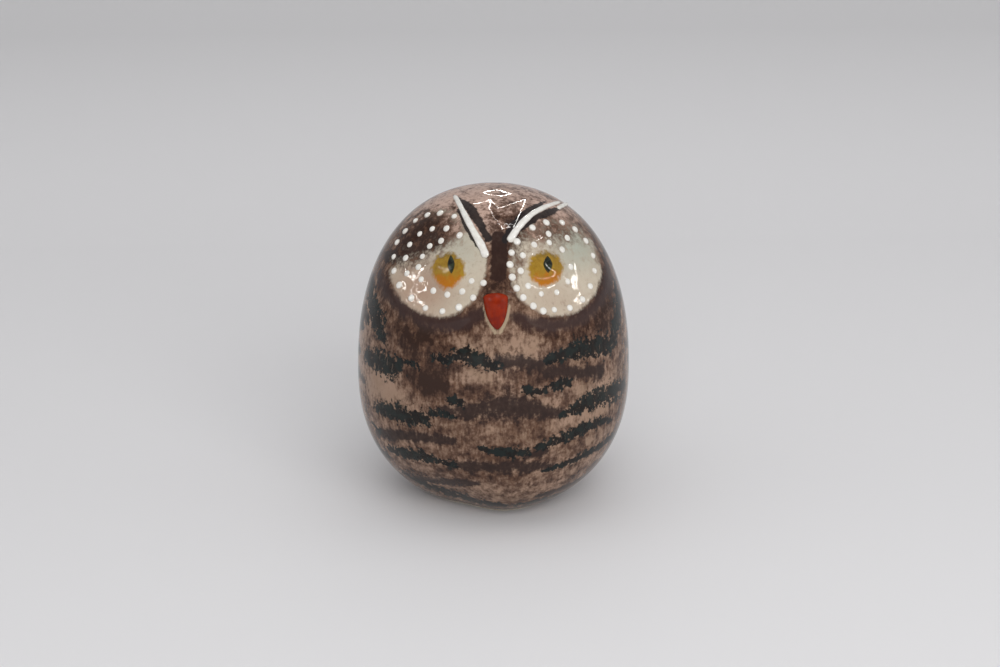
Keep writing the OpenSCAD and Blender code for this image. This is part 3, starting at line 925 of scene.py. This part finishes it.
def painting(s):
    """The colour of the painting: beige, sponged brown, mauve bands, white slip on the face, darks round
    the brows and the bridge, pale rims by the beak, and black dabs over everything."""
    broad = s.noise(14, 2)
    blotch = s.noise(4.6, 4, rough=0.6)
    streak = s.noise(1.2, 3, stretch=(1, 1, 3.2))
    clump = s.noise(2.1, 3, rough=0.6)
    grain = s.noise(0.9, 3, rough=0.6)

    colour = s.mix(broad, srgb(156, 127, 108), srgb(142, 117, 97))
    colour = s.mix(s.math("MULTIPLY", blotch, 0.6), colour, srgb(172, 145, 125))
    colour = s.mix(s.math("MULTIPLY", s.field("crown"), 0.6), colour, srgb(216, 186, 172))

    mottle = s.field("mottled")
    for noise, amount in ((blotch, 0.85), (clump, 0.45), (streak, 0.5), (grain, 0.3), (broad, 0.35)):
        mottle = s.plus(mottle, noise, amount)
    mottle = s.math("SUBTRACT", mottle, s.math("MULTIPLY", s.field("crown"), 0.4))
    brown = s.mix(blotch, srgb(91, 62, 46), srgb(80, 57, 46))
    colour = s.mix(s.step(mottle, -0.05, 0.85, 0, 0.94), colour, brown)
    colour = s.mix(s.step(mottle, 0.65, 1.3, 0, 0.92), colour, srgb(46, 28, 21))

    band = s.field("brown")
    for noise, amount in ((blotch, 0.8), (clump, 0.5), (streak, 0.3), (grain, 0.3)):
        band = s.plus(band, noise, amount)
    mauve = s.mix(clump, srgb(50, 35, 31), srgb(43, 31, 28))
    colour = s.mix(s.step(band, -0.25, 0.55, 0, 0.92), colour, mauve)

    # Dark contours round the discs, which under the discs are also painted shade.
    contour_and_shade = s.plus(s.plus(s.field("contour_and_shade"), blotch, 0.6), streak, 0.4)
    colour = s.mix(s.step(contour_and_shade, -0.5, 0.6, 0, 0.92), colour, srgb(58, 41, 38))

    slip = s.plus(s.plus(s.plus(s.field("white"), blotch, 0.6), streak, 0.4), grain, 0.2)
    slip_colour = s.mix(s.field("rosy"), srgb(200, 189, 170), srgb(170, 142, 122))
    slip_colour = s.mix(s.field("green"), slip_colour, srgb(172, 176, 162))
    slip_colour = s.mix(s.math("MULTIPLY", clump, 0.3), slip_colour, srgb(178, 156, 138))
    cover = s.math("MULTIPLY", s.step(slip, 0.1, 0.95, 0, 0.95), s.step(s.field("white"), 0.02, 0.2))
    colour = s.mix(cover, colour, slip_colour)

    bridge = s.plus(s.field("bridge"), streak, 0.2)
    colour = s.mix(s.step(bridge, 0.05, 0.35, 0, 0.95), colour, srgb(46, 28, 23))
    brow = s.plus(s.field("brow"), clump, 0.4)
    colour = s.mix(s.step(brow, 0.12, 0.4, 0, 0.95), colour, srgb(34, 28, 28))
    rim = s.plus(s.field("rim"), grain, 0.3)
    colour = s.mix(s.step(rim, 0.15, 0.7, 0, 0.8), colour, srgb(178, 160, 134))

    ragged = s.plus(s.plus(s.plus(s.field("black"), clump, 1.1), grain, 0.6), blotch, 0.4)
    ink = s.mix(s.step(blotch, 0.3, 0.75), srgb(8, 10, 11), srgb(24, 33, 32))
    ink = s.mix(s.step(streak, 0.86, 0.98, 0, 0.5), ink, srgb(108, 92, 80))
    return s.mix(s.step(ragged, 0.05, 0.36, 0, 0.95), colour, ink)


def painted_glaze():
    s = Shader("painted_glaze")
    grain = s.noise(1.3, 2, rough=0.6)
    biscuit = s.mix(grain, srgb(206, 196, 178), srgb(190, 178, 158))
    bare = s.step(s.plus(s.field("bare"), grain, 0.2), 0.4, 0.6)
    s.set(Base_Color=s.mix(bare, painting(s), biscuit))
    return clear_glaze(s)


def white_enamel():
    s = Shader("white_enamel")
    tone = s.mix(s.noise(1.6, 2), srgb(238, 236, 230), srgb(222, 218, 210))
    s.set(Base_Color=s.mix(s.step(s.field("edge"), 0.75, 1.05, 0, 0.6), tone, srgb(176, 160, 146)))
    return clear_glaze(s, 0.3)


def amber_enamel():
    """Amber, greener at the top and more orange below, brushed out thin at its rim."""
    s = Shader("amber_enamel")
    spot = s.noise(2.2, 3)
    rays = s.noise(0.9, 2, stretch=(1, 1, 3))
    colour = s.mix(s.plus(s.math("MULTIPLY", spot, 0.7), rays, 0.4), srgb(160, 126, 42), srgb(130, 95, 27))
    low = s.plus(s.math("MULTIPLY", s.field("up"), -0.13), spot, 0.5)
    colour = s.mix(s.step(low, 0.05, 0.6, 0, 0.85), colour, srgb(178, 106, 22))
    high = s.plus(s.math("MULTIPLY", s.field("up"), 0.15), spot, 0.4)
    colour = s.mix(s.step(high, 0.45, 1.0, 0, 0.8), colour, srgb(112, 92, 44))
    rim = s.plus(s.plus(s.field("edge"), spot, 0.18), rays, 0.1)
    s.set(Base_Color=s.mix(s.step(rim, 0.74, 0.99), colour, painting(s)))
    return clear_glaze(s, 0.5)


def black_enamel():
    s = Shader("black_enamel")
    tone = s.mix(s.step(s.noise(1.5, 2), 0.2, 0.9), srgb(18, 20, 16), srgb(50, 58, 42))
    s.set(Base_Color=s.mix(s.step(s.field("edge"), 0.72, 1.0, 0, 0.7), tone, srgb(74, 62, 26)))
    return clear_glaze(s, 0.2)


def orange_enamel():
    s = Shader("orange_enamel")
    spot = s.noise(2.4, 3)
    colour = s.mix(spot, srgb(148, 40, 2), srgb(122, 27, 2))
    down = s.plus(s.field("down"), spot, 0.3)
    colour = s.mix(s.step(down, 0.55, 0.95, 0, 0.8), colour, srgb(112, 22, 8))
    s.set(Base_Color=colour)
    return clear_glaze(s, 0.5)


def soft_rubber():
    s = Shader("soft_rubber")
    fine = s.noise(0.5, 3)
    s.set(Base_Color=s.mix(s.step(s.noise(6, 3), 0.3, 0.7), srgb(44, 43, 42), srgb(58, 56, 54)))
    s.set(Roughness=s.step(fine, 0.3, 0.7, 0.5, 0.68))
    s.bump(fine, 0.04)
    return s.material


# ------------------------ putting the owl together

def place(piece, material, node, body="owl"):
    """Gives a piece its material and its body, and hides its CAD node."""
    piece.data.materials.clear()
    piece.data.materials.append(material)
    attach(piece, body)
    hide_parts(node)


GLAZE = painted_glaze()
WHITE = white_enamel()
AMBER = amber_enamel()
INK = black_enamel()
ORANGE = orange_enamel()

place(build_shell(), GLAZE, "ceramic_shell")
for side in (LEFT, RIGHT):
    place(build_disc(side), GLAZE, f"facial_disc_{WORD[side]}")
for side, *shape in ((LEFT, 6.9, 0.2, 262), (RIGHT, 7.7, 0.08, 255)):
    place(build_iris(side, *shape), AMBER, f"iris_{WORD[side]}")
for side, *shape in ((LEFT, (-16.7, 2.0), 1.3, 3.4), (RIGHT, (18.6, 1.5), 1.75, 3.1)):
    place(build_pupil(side, *shape), INK, f"pupil_{WORD[side]}")
place(build_beak(), ORANGE, "beak")
for name, *shape in (("brow_line_left", BROW_LEFT, BROW_W, (0.7, 1.3)),
                     ("brow_line_right", BROW_RIGHT, BROW_W, (1.15, 0.7)),
                     ("brow_dash_right", BROW_DASH, BROW_W * 0.7, (1.0, 1.0))):
    place(build_line(name + "_slip", *shape), WHITE, name)
for seed, (name, rows) in enumerate((("outer_dots_left", OUTER_LEFT), ("outer_dots_right", OUTER_RIGHT),
                                     ("inner_dots_left", INNER_LEFT), ("inner_dots_right", INNER_RIGHT))):
    place(build_dots(name + "_slip", rows, seed), WHITE, name)

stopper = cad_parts["base_stopper"]
stopper.data.materials.clear()
stopper.data.materials.append(soft_rubber())


# ------------------------ the stage, the light and the camera

CAMERA_AZ, CAMERA_EL = math.radians(-2.5), math.radians(21)
LENS = 85.0
SENSOR = 36.0
OWL_SHARE = 0.2716               # the share of the picture's width that the body fills
AIM_RIGHT, AIM_UP = 2.5, 2.5     # how far the picture's middle lies from the owl's, in millimetres
TOWARD = np.array([math.sin(CAMERA_AZ) * math.cos(CAMERA_EL), -math.cos(CAMERA_AZ) * math.cos(CAMERA_EL),
                   math.sin(CAMERA_EL)])
ACROSS = np.array([math.cos(CAMERA_AZ), math.sin(CAMERA_AZ), 0])
AIM = np.array([0, 0, BODY_H / 2]) + AIM_RIGHT * ACROSS + AIM_UP * np.cross(ACROSS, -TOWARD)


def camera_spot():
    """Where the camera stands, in millimetres: as far off as makes the owl fill its share."""
    return AIM + TOWARD * LENS / SENSOR * BODY_W / OWL_SHARE


def build_camera():
    camera = add_object("camera", bpy.data.cameras.new("camera"))
    camera.data.lens = LENS
    camera.data.sensor_width = SENSOR
    camera.data.clip_start = 0.01
    camera.location = camera_spot() * MM
    camera.rotation_euler = Vector(-TOWARD).to_track_quat("-Z", "Y").to_euler()
    bpy.context.scene.camera = camera


FLOOR_HALF = 3.0                 # metres, as are all the sizes of the floor
FLOOR_HOLE_R = 0.0203
SWEEP_AT = 0.3
SWEEP_R = 0.6
WALL_TOP = 3.0


def build_floor():
    """A pale sheet, swept up behind, with a hole under the foot that lets light reach the base."""
    corners = [(FLOOR_HALF, SWEEP_AT), (-FLOOR_HALF, SWEEP_AT), (-FLOOR_HALF, -FLOOR_HALF),
               (FLOOR_HALF, -FLOOR_HALF)]
    angles = list(np.linspace(-math.pi, math.pi, 64, endpoint=False))
    angles += [math.atan2(y, x) for x, y in corners]
    angles.sort()
    points = [(FLOOR_HOLE_R * math.cos(a), FLOOR_HOLE_R * math.sin(a), 0) for a in angles]
    for a in angles:
        x, y = math.cos(a), math.sin(a)
        depth = SWEEP_AT if y > 0 else FLOOR_HALF
        reach = min(FLOOR_HALF / max(abs(x), 1e-9), depth / max(abs(y), 1e-9))
        points.append((x * reach, y * reach, 0))
    n = len(angles)
    faces = [face[::-1] for face in strip(list(range(n)), list(range(n, 2 * n)))]
    profile = [(SWEEP_AT, 0)]
    for a in np.linspace(0.05, 1.55, 32):
        profile.append((SWEEP_AT + SWEEP_R * math.sin(a), SWEEP_R * (1 - math.cos(a))))
    profile.append((SWEEP_AT + SWEEP_R, WALL_TOP))
    start = len(points)
    points += [(x, y, z) for y, z in profile for x in (-FLOOR_HALF, FLOOR_HALF)]
    faces += [(start + 2 * k, start + 2 * k + 1, start + 2 * k + 3, start + 2 * k + 2)
              for k in range(len(profile) - 1)]
    mesh = bpy.data.meshes.new("floor")
    mesh.from_pydata(points, [], faces)
    mesh.shade_smooth()
    mesh.materials.append(paper())
    floor = add_object("floor", mesh)


def paper():
    """Off-white paper with painted shade that darkens it where it rises, and clear from behind."""
    s = Shader("paper")
    height = s.node("ShaderNodeSeparateXYZ")
    s.feed(height.inputs[0], s.place)
    # Painted shade: the paper is darker where it rises, as that part lies further from the lamps.
    painted_shade = s.step(height.outputs["Z"], 0, 0.05, linear=True)
    s.set(Base_Color=s.mix(painted_shade, srgb(232, 231, 232), srgb(209, 208, 209)), Roughness=0.8)
    clear = s.node("ShaderNodeBsdfTransparent")
    either = s.node("ShaderNodeMixShader")
    geometry = s.node("ShaderNodeNewGeometry")
    for k, value in enumerate((geometry.outputs["Backfacing"], s.surface.outputs[0], clear.outputs[0])):
        s.feed(either.inputs[k], value)
    s.feed(s.tree.nodes["Material Output"].inputs["Surface"], either.outputs[0])
    return s.material


def add_area(name, spot, aim, size, power):
    """A soft lamp, in metres and watts, that the glaze doesn't mirror."""
    light = bpy.data.lights.new(name, "AREA")
    light.shape = "RECTANGLE"
    light.size, light.size_y = size
    light.energy = power
    item = add_object(name, light)
    item.location = spot
    item.rotation_euler = (Vector(aim) - Vector(spot)).to_track_quat("-Z", "Y").to_euler()
    item.visible_glossy = False


# Highlights are rows of places on the face, (across, up), where the camera sees a strip of lamps.
HIGHLIGHTS = [
    [(-4, 28.5), (1.4, 29.7), (6.5, 28.3), (2.2, 27.1), (-4, 28.5)],
    [(-7.7, 24.1), (-1.6, 26), (1.1, 22.3), (6, 24), (11.6, 25.9), (9, 20), (6.2, 15.4), (2.5, 15),
     (-1, 19), (-1.9, 23), (-1.6, 26)],
    [(-35, -2), (-29, -3), (-25, -4.5), (-26, -8), (-30, -8.6), (-33, -6)],
    [(10.1, -3.5), (15.6, -5), (24.1, -3.2), (28.9, -6.1), (30.7, -10.4), (26.8, -12.4)],
]
LAMPS_AWAY = 600.0
LAMPS_HALF_W = 1.4
LAMPS_STRENGTH = 75.0


def lamp_strip(name, places):
    """A strip of lamps, laid where the glaze mirrors the camera's view of those places."""
    path = np.array(places, float)
    s = np.linspace(0, len(path) - 1, 8 * (len(path) - 1) + 1)
    x, up = [np.interp(s, np.arange(len(path)), path[:, column]) for column in range(2)]
    here = face_skin(x, up)
    normal = face_normal(x, up)
    view = unit(camera_spot() - here)
    mirror = 2 * np.sum(normal * view, axis=1, keepdims=True) * normal - view
    lamps = here + mirror * LAMPS_AWAY
    side = unit(np.cross(np.gradient(lamps, axis=0), mirror)) * LAMPS_HALF_W
    points = np.concatenate([lamps - side, lamps + side])
    n = len(lamps)
    faces = [(k, k + 1, n + k + 1, n + k) for k in range(n - 1)]
    strip_of_lamps = make_mesh(name, points, faces)
    glow = Shader(name + "_glow")
    glow.set(Emission_Color=(1.0, 0.98, 0.95), Emission_Strength=LAMPS_STRENGTH)
    strip_of_lamps.data.materials.append(glow.material)
    strip_of_lamps.visible_camera = False
    strip_of_lamps.visible_diffuse = False
    strip_of_lamps.visible_shadow = False


def build_light():
    """A light tent, darker on the camera's side, with one soft lamp overhead, one in front, and the strips
    of lamps that show in the glaze."""
    world = bpy.data.worlds.new("tent")
    bpy.context.scene.world = world
    world.use_nodes = True
    tree = world.node_tree
    back = tree.nodes["Background"]
    back.inputs["Color"].default_value = (0.98, 0.985, 1.0, 1)
    direction = tree.nodes.new("ShaderNodeTexCoord")
    split = tree.nodes.new("ShaderNodeSeparateXYZ")
    fade = tree.nodes.new("ShaderNodeMapRange")
    fade.interpolation_type = "SMOOTHSTEP"
    for key, value in (("From Min", -0.9), ("From Max", 0.1), ("To Min", 0.36), ("To Max", 0.62)):
        fade.inputs[key].default_value = value
    tree.links.new(direction.outputs["Generated"], split.inputs[0])
    tree.links.new(split.outputs["Y"], fade.inputs["Value"])
    tree.links.new(fade.outputs["Result"], back.inputs["Strength"])
    add_area("overhead", (0, -0.1, 1.7), (0, 0, 0.06), (1.8, 1.6), 4.2)
    add_area("front_fill", (0.25, -1.1, 0.7), (0, 0, 0.02), (1.4, 0.8), 10)
    for number, places in enumerate(HIGHLIGHTS):
        lamp_strip(f"lamps_{number}", places)
    bpy.context.scene.view_settings.view_transform = "Standard"


build_floor()
build_light()
build_camera()
